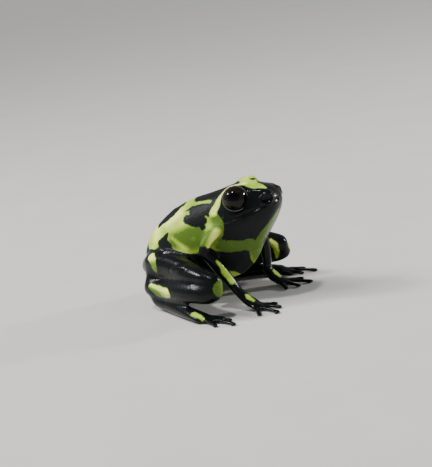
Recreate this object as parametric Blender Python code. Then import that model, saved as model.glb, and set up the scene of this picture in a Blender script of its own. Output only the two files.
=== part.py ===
"""Green and black poison dart frog, life size, sitting with its chest raised and its hind legs folded.

Run it with blender --background --python part.py, or from Blender's text editor.
The frog faces +X, its left side is +Y, and its hands and feet rest on the floor at Z = 0.
Sizes are millimetres in that frame, and SCALE turns the finished meshes into metres.
A limb's path lists the points of its centre line from root to tip, each with its half width and
half height. Every path is written with Y outward, and the right side's is mirrored.
"""

import math

import bmesh
import bpy
import numpy as np
from mathutils import Matrix, Vector

# Driving dimensions, in millimetres

SCALE = 0.001
GAP = 0.3  # kept between nodes that touch in life

# Body stations from vent to snout: the back's x and z, the belly's x and z, half the width, and how
# far up from belly to back the widest line runs.
BODY = (
    (-15.9, 9.6, -15.7, 8.0, 1.1, 0.50),
    (-15.5, 11.1, -14.7, 6.4, 3.0, 0.50),
    (-14.3, 13.0, -12.6, 5.1, 4.5, 0.50),
    (-12.4, 15.2, -9.9, 4.5, 5.8, 0.48),
    (-9.9, 17.4, -6.6, 4.2, 6.9, 0.46),
    (-6.5, 19.6, -2.8, 4.0, 7.6, 0.46),
    (-3.0, 21.0, 1.8, 4.1, 7.5, 0.49),
    (0.2, 21.8, 6.0, 5.0, 6.8, 0.52),
    (2.8, 22.5, 9.0, 7.5, 6.2, 0.54),
    (4.9, 23.2, 10.9, 10.5, 5.9, 0.52),
    (6.8, 23.8, 12.6, 13.0, 5.7, 0.47),
    (8.8, 24.0, 14.1, 15.1, 5.3, 0.42),
    (10.9, 23.9, 15.2, 16.9, 4.6, 0.41),
    (13.0, 23.4, 16.0, 18.3, 3.8, 0.44),
    (14.6, 22.8, 16.5, 19.4, 2.8, 0.50),
    (15.5, 22.1, 16.6, 20.3, 1.6, 0.50),
)
BODY_RINGS = 48
BODY_SIDES = 40
BODY_TIP = 0.25  # how far the vent and the snout stand past the end rings
SQUARENESS = 2.25  # 2 is an ellipse
HEAD_TURN = math.radians(7)  # to the frog's left
TURN_STARTS, TURN_ENDS, TURN_PIVOT = 0.5, 7.0, 4.0

NECK_BACK = Vector((3.6, 0, 23.0))
NECK_THROAT = Vector((9.9, 0, 11.0))

EYE_RADIUS = 2.5
EYE_CENTRE = Vector((8.3, 3.7, 21.35))
EYE_LOOKS = Vector((0.25, 0.93, 0.12)).normalized()
LID_THICKNESS = 0.42
LID_OPENS_AT = 0.75  # out from the eye's centre
LID_TILT = math.radians(12)  # the upper lid reaches further over the eye

OPENING_REACH = 3.0  # of the cut in front of the eye
OPENING_OVERLAP = 0.07  # how far that cut trims the lid's rim

NOSTRIL = Vector((14.4, 2.4, 20.9))
NOSTRIL_RIM, NOSTRIL_HOLE = 0.75, 0.38
NOSTRIL_RIM_SHAPE = Vector((1.25, 0.8, 0.9))
NOSTRIL_HOLE_SHAPE = Vector((1.2, 1, 0.9))
NOSTRIL_HOLE_OUT = Vector((0.15, 0.62, 0.1))  # from the rim's middle, in rim sizes

MOUTH_LINE = ((4.9, 17.0), (7.0, 17.5), (10.0, 18.4), (13.0, 19.4), (14.8, 20.0), (17.6, 20.7))
MOUTH_WIDTH, MOUTH_DEPTH = 0.34, 0.5
MOUTH_SHEET_REACH = 9.0  # past the cheeks on each side
LIP_SWELL, LIP_HEIGHT = 0.16, 0.9

# The right arm reaches forward and the left one stands straight under its shoulder.
ARMS = {
    "right": {
        "upper": (
            (6.4, 3.4, 15.2, 1.9, 2.3),
            (5.4, 5.9, 15.0, 1.8, 2.2),
            (4.3, 8.0, 13.9, 1.65, 1.9),
            (3.4, 8.95, 12.3, 1.4, 1.5),
            (2.7, 9.35, 11.2, 1.2, 1.3),
        ),
        "fore": (
            (2.5, 9.25, 12.9, 1.2, 1.25),
            (3.7, 8.85, 11.4, 1.4, 1.4),
            (5.4, 8.3, 9.0, 1.35, 1.35),
            (7.4, 8.1, 6.3, 1.25, 1.15),
            (9.0, 8.1, 3.9, 1.2, 1.0),
            (10.2, 7.8, 2.6, 1.2, 0.9),
        ),
        "elbow_cut": (Vector((3.1, 8.9, 11.9)), Vector((-0.62, 0.18, 0.76))),
        "wrist_cut": (Vector((9.2, 8.0, 3.7)), Vector((-0.66, 0.1, 0.74))),
        "hand_ahead": 0.0,
    },
    "left": {
        "upper": (
            (6.8, 3.4, 15.2, 1.9, 2.3),
            (6.6, 5.9, 14.9, 1.8, 2.2),
            (6.1, 8.0, 13.9, 1.65, 1.9),
            (5.6, 8.9, 12.5, 1.4, 1.5),
            (5.2, 9.2, 11.4, 1.2, 1.3),
        ),
        "fore": (
            (5.1, 9.1, 13.1, 1.2, 1.25),
            (5.9, 8.85, 11.6, 1.4, 1.4),
            (6.7, 8.5, 9.2, 1.35, 1.35),
            (7.0, 8.25, 6.6, 1.25, 1.15),
            (7.0, 8.15, 4.3, 1.2, 1.0),
            (7.4, 8.0, 2.8, 1.2, 0.9),
        ),
        "elbow_cut": (Vector((5.5, 9.0, 12.1)), Vector((-0.5, 0.15, 0.85))),
        "wrist_cut": (Vector((6.8, 8.1, 3.8)), Vector((-0.4, 0.1, 0.91))),
        "hand_ahead": -2.7,
    },
}
PALM_PATH = (
    (8.6, 8.05, 4.5, 1.15, 1.0),
    (9.8, 7.9, 3.1, 1.3, 0.95),
    (11.2, 7.8, 1.8, 1.7, 0.85),
    (12.6, 7.8, 1.0, 1.7, 0.7),
)
FINGER_ROOT = (11.9, 7.9, 1.35)
# Each finger's direction from +X outward in degrees, its length, and its pad's half width
FINGERS = ((-42, 4.6, 0.66), (-13, 5.4, 0.72), (16, 6.6, 0.84), (46, 5.0, 0.72))
DIGIT_HALF_WIDTH = 0.48
DIGIT_STATIONS = (0, 0.18, 0.4, 0.62, 0.84, 1.0)
DIGIT_START = 0.9  # behind the root, inside the palm or sole
DIGIT_ARCH = 0.35  # how far its middle is lifted off the floor
DIGIT_LANDS_AT = 0.5  # as a share of its length
DIGIT_REST = 0.8  # its centre line's height off the floor, as a share of its half width
DIGIT_SLIMS = (1.15, 0.85)  # from root to tip, as shares of its half width

THIGH_PATH = (
    (-12.9, 5.0, 8.0, 2.1, 2.3),
    (-11.4, 5.4, 8.3, 2.9, 3.0),
    (-8.7, 6.5, 8.8, 3.1, 3.2),
    (-4.5, 8.4, 8.8, 2.8, 3.0),
    (0.5, 11.2, 8.3, 2.45, 2.55),
    (4.9, 13.15, 7.7, 2.3, 2.35),
    (7.7, 13.95, 7.1, 2.2, 2.15),
)
SHANK_PATH = (
    (7.8, 14.2, 5.7, 2.15, 2.1),
    (5.4, 14.1, 5.3, 2.4, 2.35),
    (0.7, 12.8, 5.1, 2.55, 2.4),
    (-4.0, 11.1, 4.7, 2.2, 2.1),
    (-7.8, 9.4, 4.5, 2.0, 2.0),
    (-10.2, 8.6, 4.5, 2.15, 2.15),
    (-11.7, 8.2, 4.5, 1.75, 1.85),
)
TARSUS_PATH = (
    (-10.6, 8.3, 3.0, 1.3, 1.3),
    (-9.0, 9.0, 2.0, 1.7, 1.6),
    (-5.6, 10.8, 1.55, 1.5, 1.5),
    (-1.5, 13.2, 1.4, 1.4, 1.4),
    (2.2, 15.0, 1.2, 1.6, 1.15),
    (5.0, 16.1, 0.9, 1.9, 0.85),
)
TOE_ROOT = (3.6, 15.6, 1.05)
# Each toe's direction from +X outward in degrees, its length, and its pad's half width
TOES = ((-30, 3.6, 0.5), (-16, 5.2, 0.58), (-3, 7.2, 0.68), (11, 9.4, 0.76), (27, 6.6, 0.68))
PAD_HEIGHT = 0.42
PAD_RISE = 0.75  # its middle's height, as a share of its half height

KNEE_CUT = (Vector((0, 11.2, 6.7)), Vector((0.02, -0.34, 0.94)))
HEEL_CUT = (Vector((-6, 10.0, 2.95)), Vector((0.03, -0.1, 0.99)))

DOME_REACH = 0.8  # how far a limb's round end stands out, as a share of its half width
DOME_TURNS = [math.radians(turn) for turn in (72, 50, 26)]

FLAT_ENOUGH = math.radians(1.5)  # faces this near to one plane are merged
SMOOTH_BELOW = math.radians(40)
WELD, SLIVER = 0.004, 0.002
UPRIGHT = 0.35  # a centre line with less level run than this keeps the ring before it unturned
BALL_SEGMENTS, BALL_ROWS = 22, 13
PAD_SEGMENTS, PAD_ROWS = 9, 5
RIM_SEGMENTS, RIM_ROWS = 12, 8
HOLE_SEGMENTS, HOLE_ROWS = 10, 6
DRUM_SEGMENTS = 28
LIMB_SIDES, LIMB_RINGS = 18, 16
ARM_SIDES, ARM_RINGS = 14, 11
DIGIT_SIDES, DIGIT_RINGS = 7, 5

# Colours: red, green, blue, roughness

BLACK = (0.012, 0.013, 0.016, 0.28)
GREEN = (0.30, 0.42, 0.08, 0.32)
EYE_BLACK = (0.008, 0.007, 0.006, 0.06)


# Curves and sections

def spline(rows, count):
    """A smooth curve through the rows, read at count even steps."""
    rows = np.asarray(rows, float)
    padded = np.vstack([2 * rows[0] - rows[1], rows, 2 * rows[-1] - rows[-2]])
    steps = np.linspace(0, len(rows) - 1, count)
    result = []
    for step in steps:
        i = min(int(step), len(rows) - 2)
        t = step - i
        a, b, c, d = padded[i:i + 4]
        bend = 2 * a - 5 * b + 4 * c - d
        twist = 3 * b - a - 3 * c + d
        result.append(0.5 * (2 * b + (c - a) * t + bend * t ** 2 + twist * t ** 3))
    return np.array(result)


def smooth_step(value):
    value = np.clip(value, 0, 1)
    return value * value * (3 - 2 * value)


def turned(point):
    """The point after the neck's turn, which grows along the neck."""
    x, y, z = point
    angle = HEAD_TURN * smooth_step((x - TURN_STARTS) / (TURN_ENDS - TURN_STARTS))
    c, s = math.cos(angle), math.sin(angle)
    return Vector((TURN_PIVOT + c * (x - TURN_PIVOT) - s * y, s * (x - TURN_PIVOT) + c * y, z))


def mouth_height(x):
    xs, zs = zip(*MOUTH_LINE)
    return float(np.interp(x, xs, zs))


def body_ring(station, grow=0.0):
    """One closed section of the body, grown outward by grow."""
    back_x, back_z, belly_x, belly_z, half_width, widest = station
    back, belly = np.array((back_x, 0, back_z)), np.array((belly_x, 0, belly_z))
    tall = np.linalg.norm(back - belly)
    up = (back - belly) / tall
    middle = belly + widest * tall * up
    above, below = (1 - widest) * tall + grow, widest * tall + grow
    points = []
    for turn in np.linspace(0, 2 * math.pi, BODY_SIDES, endpoint=False):
        c, s = math.cos(turn), math.sin(turn)
        wide = math.copysign(abs(c) ** (2 / SQUARENESS), c) * (half_width + grow)
        high = math.copysign(abs(s) ** (2 / SQUARENESS), s) * (above if s > 0 else below)
        point = middle + up * high
        point[1] = wide
        if point[0] > MOUTH_LINE[0][0]:
            off = (point[2] - mouth_height(point[0])) / LIP_HEIGHT
            point[1] += math.copysign(LIP_SWELL * math.exp(-off * off), wide) * abs(c)
        points.append(turned(point))
    return points


def level_side(along, before):
    """The level direction across a centre line, which follows the one before where it is upright."""
    side = along.cross(Vector((0, 0, 1)))
    if before and side.length < UPRIGHT:
        side = before - along * before.dot(along)
    if before and side.dot(before) < 0:
        side = -side
    return side.normalized()


def tube_ring(row, along, side, sides):
    """One closed section of a limb, square to its centre line, flattened in height."""
    centre = Vector(row[:3])
    up = side.cross(along).normalized()
    points = []
    for i in range(sides):
        turn = 2 * math.pi * (i + 0.5) / sides
        points.append(centre + side * (row[3] * math.cos(turn)) + up * (row[4] * math.sin(turn)))
    return points


# Meshes and solids

def mesh_from_rings(name, rings, first_pole, last_pole):
    """A closed skin over the rings, with a fan of triangles to a pole at each end."""
    sides = len(rings[0])
    bm = bmesh.new()
    loops = [[bm.verts.new(point) for point in ring] for ring in rings]
    start, end = bm.verts.new(first_pole), bm.verts.new(last_pole)
    for i in range(sides):
        j = (i + 1) % sides
        bm.faces.new((start, loops[0][j], loops[0][i]))
        bm.faces.new((end, loops[-1][i], loops[-1][j]))
        for near, far in zip(loops, loops[1:]):
            bm.faces.new((near[i], near[j], far[j], far[i]))
    bmesh.ops.triangulate(bm, faces=bm.faces)
    bmesh.ops.recalc_face_normals(bm, faces=bm.faces)
    return object_from(bm, name)


def object_from(bm, name):
    mesh = bpy.data.meshes.new(name)
    bm.to_mesh(mesh)
    bm.free()
    piece = bpy.data.objects.new(name, mesh)
    bpy.context.scene.collection.objects.link(piece)
    return piece


def body_solid(name, grow=0.0):
    rings = [body_ring(station, grow) for station in spline(BODY, BODY_RINGS)]
    tip = Vector((BODY_TIP + grow, 0, 0))
    tail = sum(rings[0], Vector()) / BODY_SIDES - tip
    snout = sum(rings[-1], Vector()) / BODY_SIDES + tip
    return mesh_from_rings(name, rings, tail, snout)


def limb_solid(name, path, side, sides, count):
    """A limb's solid with rounded ends, mirrored to the right where side is -1."""
    rows = spline(path, count)
    rows[:, 1] *= side
    places = [Vector(row[:3]) for row in rows]
    rings, across = [], None
    for i, row in enumerate(rows):
        along = (places[min(i + 1, count - 1)] - places[max(i - 1, 0)]).normalized()
        across = level_side(along, across)
        rings.append(tube_ring(row, along, across, sides))
    first = (places[0] - places[1]).normalized()
    last = (places[-1] - places[-2]).normalized()
    reach_first, reach_last = rows[0][3] * DOME_REACH, rows[-1][3] * DOME_REACH
    root = round_end(rings[0], places[0], first * reach_first)
    tip = round_end(rings[-1], places[-1], last * reach_last)
    return mesh_from_rings(name, root + rings + tip[::-1], places[0] + first * reach_first,
                           places[-1] + last * reach_last)


def round_end(ring, centre, outward):
    """Shrinking copies of the end ring that close it as a dome, tip first."""
    dome = []
    for turn in DOME_TURNS:
        c, s = math.cos(turn), math.sin(turn)
        dome.append([centre + (point - centre) * c + outward * s for point in ring])
    return dome


def ball(name, centre, radii, around=BALL_SEGMENTS, rows=BALL_ROWS):
    bm = bmesh.new()
    bmesh.ops.create_uvsphere(bm, u_segments=around, v_segments=rows, radius=1)
    bmesh.ops.scale(bm, vec=radii, verts=bm.verts)
    bmesh.ops.translate(bm, vec=centre, verts=bm.verts)
    bmesh.ops.triangulate(bm, faces=bm.faces)
    return object_from(bm, name)


def drum(name, start, along, radius, length, around=DRUM_SEGMENTS):
    """A cylinder that starts at a point and runs along a direction."""
    bm = bmesh.new()
    bmesh.ops.create_cone(bm, cap_ends=True, segments=around, radius1=radius, radius2=radius, depth=length)
    turn = Vector((0, 0, 1)).rotation_difference(along).to_matrix().to_4x4()
    middle = Matrix.Translation(Vector(start) + Vector(along) * length / 2)
    bmesh.ops.transform(bm, matrix=middle @ turn, verts=bm.verts)
    bmesh.ops.triangulate(bm, faces=bm.faces)
    return object_from(bm, name)


def drop(pieces):
    for piece in pieces:
        bpy.data.objects.remove(piece, do_unlink=True)


def apply_boolean(piece, modifier):
    graph = bpy.context.evaluated_depsgraph_get()
    result = bpy.data.meshes.new_from_object(piece.evaluated_get(graph))
    piece.modifiers.remove(modifier)
    piece.data = result
    keep_largest(piece)


def fuse(piece, others):
    """Join the other closed pieces to this one in a single union."""
    group = bpy.data.collections.new(piece.name + "_pieces")
    bpy.context.scene.collection.children.link(group)
    for other in others:
        group.objects.link(other)
    modifier = piece.modifiers.new("fuse", 'BOOLEAN')
    modifier.operation, modifier.operand_type, modifier.solver = 'UNION', 'COLLECTION', 'EXACT'
    modifier.collection = group
    apply_boolean(piece, modifier)
    drop(others)
    bpy.data.collections.remove(group)


def cut(piece, cutter, keep=False):
    """Take the cutter's shape out of the piece."""
    modifier = piece.modifiers.new("cut", 'BOOLEAN')
    modifier.operation, modifier.solver, modifier.object = 'DIFFERENCE', 'EXACT', cutter
    apply_boolean(piece, modifier)
    if not keep:
        drop([cutter])


def slice_off(piece, point, normal):
    """Remove what lies past a plane on its normal's side, and close the cut."""
    bm = bmesh.new()
    bm.from_mesh(piece.data)
    every = bm.verts[:] + bm.edges[:] + bm.faces[:]
    found = bmesh.ops.bisect_plane(bm, geom=every, plane_co=point, plane_no=normal, clear_outer=True)
    rim = [edge for edge in found["geom_cut"] if isinstance(edge, bmesh.types.BMEdge)]
    bmesh.ops.triangle_fill(bm, edges=rim, use_beauty=True)
    bmesh.ops.recalc_face_normals(bm, faces=bm.faces)
    bm.to_mesh(piece.data)
    bm.free()
    keep_largest(piece)


def keep_largest(piece):
    """Keep the largest closed surface of a mesh and weld its slivers."""
    bm = bmesh.new()
    bm.from_mesh(piece.data)
    bmesh.ops.remove_doubles(bm, verts=bm.verts, dist=WELD)
    bmesh.ops.dissolve_degenerate(bm, edges=bm.edges, dist=SLIVER)
    bmesh.ops.triangulate(bm, faces=bm.faces)
    left, groups = set(bm.faces), []
    while left:
        queue, group = [left.pop()], []
        while queue:
            face = queue.pop()
            group.append(face)
            near = {other for edge in face.edges if len(edge.link_faces) == 2 for other in edge.link_faces}
            found = near & left
            left -= found
            queue.extend(found)
        groups.append(group)
    groups.sort(key=lambda faces: sum(face.calc_area() for face in faces))
    spare = [face for group in groups[:-1] for face in group]
    bmesh.ops.delete(bm, geom=spare, context='FACES')
    bm.to_mesh(piece.data)
    bm.free()


def merge_flat_faces(piece):
    bm = bmesh.new()
    bm.from_mesh(piece.data)
    bmesh.ops.dissolve_limit(bm, angle_limit=FLAT_ENOUGH, verts=bm.verts, edges=bm.edges)
    bmesh.ops.triangulate(bm, faces=bm.faces)
    bm.to_mesh(piece.data)
    bm.free()


def mirrored(plane, side):
    point, normal = plane
    flip = Vector((1, side, 1))
    return point * flip, (normal * flip).normalized()


def part_at(plane, side, upper, lower):
    """Part two pieces that overlap at a plane, with the gap between them."""
    point, normal = mirrored(plane, side)
    slice_off(upper, point + normal * GAP / 2, -normal)
    slice_off(lower, point - normal * GAP / 2, normal)


# Sub-parts

def mouth_cutter():
    """A thin sheet along the mouth's line that leaves the middle of the head whole."""
    xs, zs = zip(*MOUTH_LINE)
    rings = []
    for y in (-MOUTH_SHEET_REACH, MOUTH_SHEET_REACH):
        lower = [Vector((x, y, z - MOUTH_WIDTH / 2)) for x, z in zip(xs, zs)]
        upper = [Vector((x, y, z + MOUTH_WIDTH / 2)) for x, z in zip(xs, zs)]
        rings.append(lower + upper[::-1])
    middle = [sum(ring, Vector()) / len(ring) for ring in rings]
    sheet = mesh_from_rings("mouth_sheet", rings, middle[0], middle[1])
    core = body_solid("mouth_core", -MOUTH_DEPTH)
    cut(sheet, core)
    return sheet


def make_head_and_torso():
    neck = (NECK_BACK + NECK_THROAT) / 2
    forward = Vector((0, 1, 0)).cross(NECK_BACK - NECK_THROAT).normalized()
    torso = body_solid("torso")
    head = body_solid("head")
    lids, sockets = [], []
    for side in (-1, 1):
        flip = Vector((1, side, 1))
        centre = turned(EYE_CENTRE * flip)
        looks = EYE_LOOKS * flip
        looks.rotate(Matrix.Rotation(HEAD_TURN, 3, 'Z'))
        low = looks - Vector((0, 0, math.sin(LID_TILT)))
        lid_radius = EYE_RADIUS + GAP + LID_THICKNESS
        lid = ball("lid", centre, Vector((1, 1, 1)) * lid_radius)
        slice_off(lid, centre + low.normalized() * LID_OPENS_AT, low.normalized())
        lids.append(lid)
        sockets.append(ball("socket", centre, Vector((1, 1, 1)) * (EYE_RADIUS + GAP)))
        opening = centre + low.normalized() * (LID_OPENS_AT - OPENING_OVERLAP)
        sockets.append(drum("opening", opening, low.normalized(), EYE_RADIUS + GAP, OPENING_REACH))
        rim = turned(NOSTRIL * flip)
        lids.append(ball("rim", rim, NOSTRIL_RIM_SHAPE * NOSTRIL_RIM, RIM_SEGMENTS, RIM_ROWS))
        hole = rim + NOSTRIL_HOLE_OUT * flip * NOSTRIL_RIM
        hole_shape = NOSTRIL_HOLE_SHAPE * NOSTRIL_HOLE
        sockets.append(ball("hole", hole, hole_shape, HOLE_SEGMENTS, HOLE_ROWS))
    fuse(head, lids)
    slice_off(head, neck + forward * GAP / 2, -forward)
    slice_off(torso, neck - forward * GAP / 2, forward)
    for socket in sockets:
        cut(head, socket)
    cut(head, mouth_cutter())
    return torso, head


def make_eye(side):
    name = "eye_left" if side > 0 else "eye_right"
    return ball(name, turned(EYE_CENTRE * Vector((1, side, 1))), Vector((1, 1, 1)) * EYE_RADIUS)


def digit(name, root, side, heading, length, pad):
    """A finger or toe: it comes down to the floor and ends in a flat round pad."""
    turn = math.radians(heading)
    ahead = Vector((math.cos(turn), math.sin(turn), 0))
    start = Vector(root) - ahead * DIGIT_START
    rest = DIGIT_HALF_WIDTH * DIGIT_REST
    lift = root[2] - rest
    path = []
    for along in DIGIT_STATIONS:
        place = start + ahead * (length + DIGIT_START) * along
        place.z = rest + lift * (1 - smooth_step(along / DIGIT_LANDS_AT))
        place.z += DIGIT_ARCH * math.sin(math.pi * along) ** 2
        half = DIGIT_HALF_WIDTH * float(np.interp(along, (0, 1), DIGIT_SLIMS))
        path.append((*place, half, half))
    tube = limb_solid(name, path, side, DIGIT_SIDES, DIGIT_RINGS)
    tip = Vector(path[-1][:3]) * Vector((1, side, 1))
    tip.z = PAD_HEIGHT * PAD_RISE
    disc = ball(name + "_pad", tip, Vector((pad, pad, PAD_HEIGHT)), PAD_SEGMENTS, PAD_ROWS)
    return [tube, disc]


def make_limb_end(name, path, side, root, digits):
    piece = limb_solid(name, path, side, ARM_SIDES, ARM_RINGS)
    pieces = []
    for number, (heading, length, pad) in enumerate(digits):
        pieces += digit(f"{name}_digit_{number}", root, side, heading, length, pad)
    fuse(piece, pieces)
    slice_off(piece, Vector((0, 0, 0)), Vector((0, 0, -1)))
    return piece


def make_arm(side, word, torso_skin):
    arm = ARMS[word]
    upper = limb_solid("upper_arm_" + word, arm["upper"], side, ARM_SIDES, ARM_RINGS)
    fore = limb_solid("forearm_" + word, arm["fore"], side, ARM_SIDES, ARM_RINGS)
    palm = [(row[0] + arm["hand_ahead"], *row[1:]) for row in PALM_PATH]
    root = (FINGER_ROOT[0] + arm["hand_ahead"], *FINGER_ROOT[1:])
    hand = make_limb_end("hand_" + word, palm, side, root, FINGERS)
    part_at(arm["elbow_cut"], side, upper, fore)
    part_at(arm["wrist_cut"], side, fore, hand)
    cut(upper, torso_skin, keep=True)
    return [upper, fore, hand]


def make_leg(side, word, torso_skin):
    thigh = limb_solid("thigh_" + word, THIGH_PATH, side, LIMB_SIDES, LIMB_RINGS)
    shank = limb_solid("shank_" + word, SHANK_PATH, side, LIMB_SIDES, LIMB_RINGS)
    foot = make_limb_end("foot_" + word, TARSUS_PATH, side, TOE_ROOT, TOES)
    part_at(KNEE_CUT, side, thigh, shank)
    part_at(HEEL_CUT, side, shank, foot)
    cut(thigh, torso_skin, keep=True)
    cut(shank, torso_skin, keep=True)
    return [thigh, shank, foot]


def paint(piece, colour):
    material = bpy.data.materials.new(piece.name + "_skin")
    material.use_nodes = True
    shader = material.node_tree.nodes["Principled BSDF"]
    shader.inputs["Base Color"].default_value = (*colour[:3], 1)
    shader.inputs["Roughness"].default_value = colour[3]
    shader.inputs["Metallic"].default_value = 0
    piece.data.materials.clear()
    piece.data.materials.append(material)


def centre_over_origin(pieces):
    """Put the middle of the whole frog's box over the origin, with the floor left at Z = 0."""
    corners = np.array([vert.co for piece in pieces for vert in piece.data.vertices])
    middle = (corners.min(0) + corners.max(0)) / 2
    for piece in pieces:
        piece.data.transform(Matrix.Translation((-middle[0], -middle[1], 0)))


def finish(piece):
    merge_flat_faces(piece)
    keep_largest(piece)
    piece.data.transform(Matrix.Scale(SCALE, 4))
    piece.data.shade_smooth()
    piece.data.set_sharp_from_angle(angle=SMOOTH_BELOW)


def main():
    for old in list(bpy.data.objects):
        bpy.data.objects.remove(old, do_unlink=True)
    torso, head = make_head_and_torso()
    torso_skin = body_solid("torso_skin", GAP)
    pieces = {torso: GREEN, head: BLACK}
    for side, word in ((-1, "right"), (1, "left")):
        pieces[make_eye(side)] = EYE_BLACK
        for piece in make_arm(side, word, torso_skin):
            pieces[piece] = GREEN
        for piece in make_leg(side, word, torso_skin):
            pieces[piece] = BLACK
    drop([torso_skin])
    centre_over_origin(pieces)
    for piece, colour in pieces.items():
        paint(piece, colour)
        finish(piece)


main()
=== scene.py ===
import math

import bmesh
import bpy
import numpy as np
from mathutils import Matrix, Vector
from mathutils.bvhtree import BVHTree


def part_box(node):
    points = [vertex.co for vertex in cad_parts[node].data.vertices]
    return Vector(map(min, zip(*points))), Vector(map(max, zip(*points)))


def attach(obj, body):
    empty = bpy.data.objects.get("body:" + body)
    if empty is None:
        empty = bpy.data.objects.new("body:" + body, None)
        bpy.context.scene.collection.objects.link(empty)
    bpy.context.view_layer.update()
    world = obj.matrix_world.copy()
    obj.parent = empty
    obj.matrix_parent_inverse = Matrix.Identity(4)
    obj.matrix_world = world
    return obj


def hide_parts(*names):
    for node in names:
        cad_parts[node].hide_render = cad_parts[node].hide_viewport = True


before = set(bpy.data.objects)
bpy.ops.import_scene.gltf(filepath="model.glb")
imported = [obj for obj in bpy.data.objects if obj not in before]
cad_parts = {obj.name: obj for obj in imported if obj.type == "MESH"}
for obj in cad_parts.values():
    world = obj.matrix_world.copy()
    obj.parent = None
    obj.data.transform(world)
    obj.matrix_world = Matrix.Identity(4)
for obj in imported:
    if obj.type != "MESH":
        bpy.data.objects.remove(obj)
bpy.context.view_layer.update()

# Camera. The photograph looks at the frog's right front quarter from a little above it, tipped
# a few degrees. The frog fills a third of the frame, so a long lens keeps its shape from
# stretching. Lengths are in millimetres until they are handed to Blender.

MM = 0.001
PHOTO_WIDE, PHOTO_TALL = 432, 467
PIXELS_PER_MM = 4.85  # at the frog's middle
CAMERA_RANGE = 300.0  # from the frog's middle
CAMERA_AZIMUTH = math.radians(33)
CAMERA_ELEVATION = math.radians(16)
CAMERA_ROLL = math.radians(9)
FROG_MIDDLE = Vector((-1.53, 0, 0))
MIDDLE_PIXEL = (222, 296)
SENSOR = 36.0
NEAREST_SEEN, FARTHEST_SEEN = 0.01, 20  # metres

cos_a, sin_a = math.cos(CAMERA_AZIMUTH), math.sin(CAMERA_AZIMUTH)
cos_e, sin_e = math.cos(CAMERA_ELEVATION), math.sin(CAMERA_ELEVATION)
towards_camera = Vector((sin_a * cos_e, -cos_a * cos_e, sin_e))
level_right = Vector((cos_a, sin_a, 0))
level_up = towards_camera.cross(level_right)
image_right = level_right * math.cos(CAMERA_ROLL) - level_up * math.sin(CAMERA_ROLL)
image_up = level_right * math.sin(CAMERA_ROLL) + level_up * math.cos(CAMERA_ROLL)
aim = FROG_MIDDLE + image_right * (PHOTO_WIDE / 2 - MIDDLE_PIXEL[0]) / PIXELS_PER_MM
aim += image_up * (MIDDLE_PIXEL[1] - PHOTO_TALL / 2) / PIXELS_PER_MM
camera_place = FROG_MIDDLE + towards_camera * CAMERA_RANGE
back = (camera_place - aim).normalized()
right = (image_right - back * image_right.dot(back)).normalized()
up = back.cross(right)
camera_turn = Matrix((right, up, back)).transposed()
FOCAL_PIXELS = PIXELS_PER_MM * CAMERA_RANGE

bpy.ops.object.camera_add()
camera = bpy.context.object
camera.name = "camera"
camera.matrix_world = Matrix.Translation(camera_place * MM) @ camera_turn.to_4x4()
camera.data.sensor_width = SENSOR
camera.data.lens = SENSOR * FOCAL_PIXELS / PHOTO_TALL
camera.data.clip_start = NEAREST_SEEN
camera.data.clip_end = FARTHEST_SEEN
bpy.context.scene.camera = camera

# Skin. One moist skin covers the whole frog, from the lids to the tips of the toes, black with
# patches of lime green. It is grown over the flesh of the frame, closed at the joints and
# smoothed where it lies over soft muscle.

FLESH = ["torso", "head"]
for limb in ("upper_arm", "forearm", "hand", "thigh", "shank", "foot"):
    FLESH += [limb + "_right", limb + "_left"]
GROW = 0.2  # closes the frame's gaps between neighbouring parts
VOXEL = 0.235
ARM_CLEAR = 1.05  # least distance from an arm's flesh to the thigh's
EYE_SEAT = 2.68  # radius of the ball that fills an eye's socket
HEAD_TURN = math.radians(7)
HEAD_PIVOT = Vector((2.47, 0, 0))
# Pads of skin that close the creases at the heels and the knees: place and half sizes
WEBS = ((-12.4, 7.8, 6.0, 2.1, 1.9, 1.4), (6.0, 13.8, 6.4, 2.2, 2.2, 1.9))
WEB_REACH, WEB_FADE, WEB_ROUNDS = 4.2, 1.6, 60
# Smoothing: rounds all over, then rounds over soft muscle, and how soft the fingers are
FIRST_ROUNDS, SOFT_ROUNDS, FINGER_SOFT = 4, 26, 0.12
FIRST_SHARE, SOFT_SHARE = 0.5, 0.6  # of the way that a round moves a point
EYE_FIRM, EYE_FIRM_TO, EYE_FIRM_FADE = 0.1, 3.1, 1.2
# Elbows and wrists, which are smoothed once more: place, radius and rounds
BENDS = (
    ((4.0, 9.0, 12.0), 2.6, 40),
    ((1.6, -8.9, 11.9), 2.6, 40),
    ((5.4, 8.1, 3.9), 1.8, 12),
    ((7.7, -8.0, 3.8), 1.8, 12),
)
BEND_FADE = 1.2


def node_centre(name):
    low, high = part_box(name)
    return (low + high) / 2 / MM


eye_right, eye_left = node_centre("eye_right"), node_centre("eye_left")
head_ahead = Vector((math.cos(HEAD_TURN), math.sin(HEAD_TURN), 0))
head_left = Vector((-math.sin(HEAD_TURN), math.cos(HEAD_TURN), 0))


def apply_modifiers(piece):
    bpy.ops.object.select_all(action="DESELECT")
    piece.select_set(True)
    bpy.context.view_layer.objects.active = piece
    for modifier in list(piece.modifiers):
        bpy.ops.object.modifier_apply(modifier=modifier.name)


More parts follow.
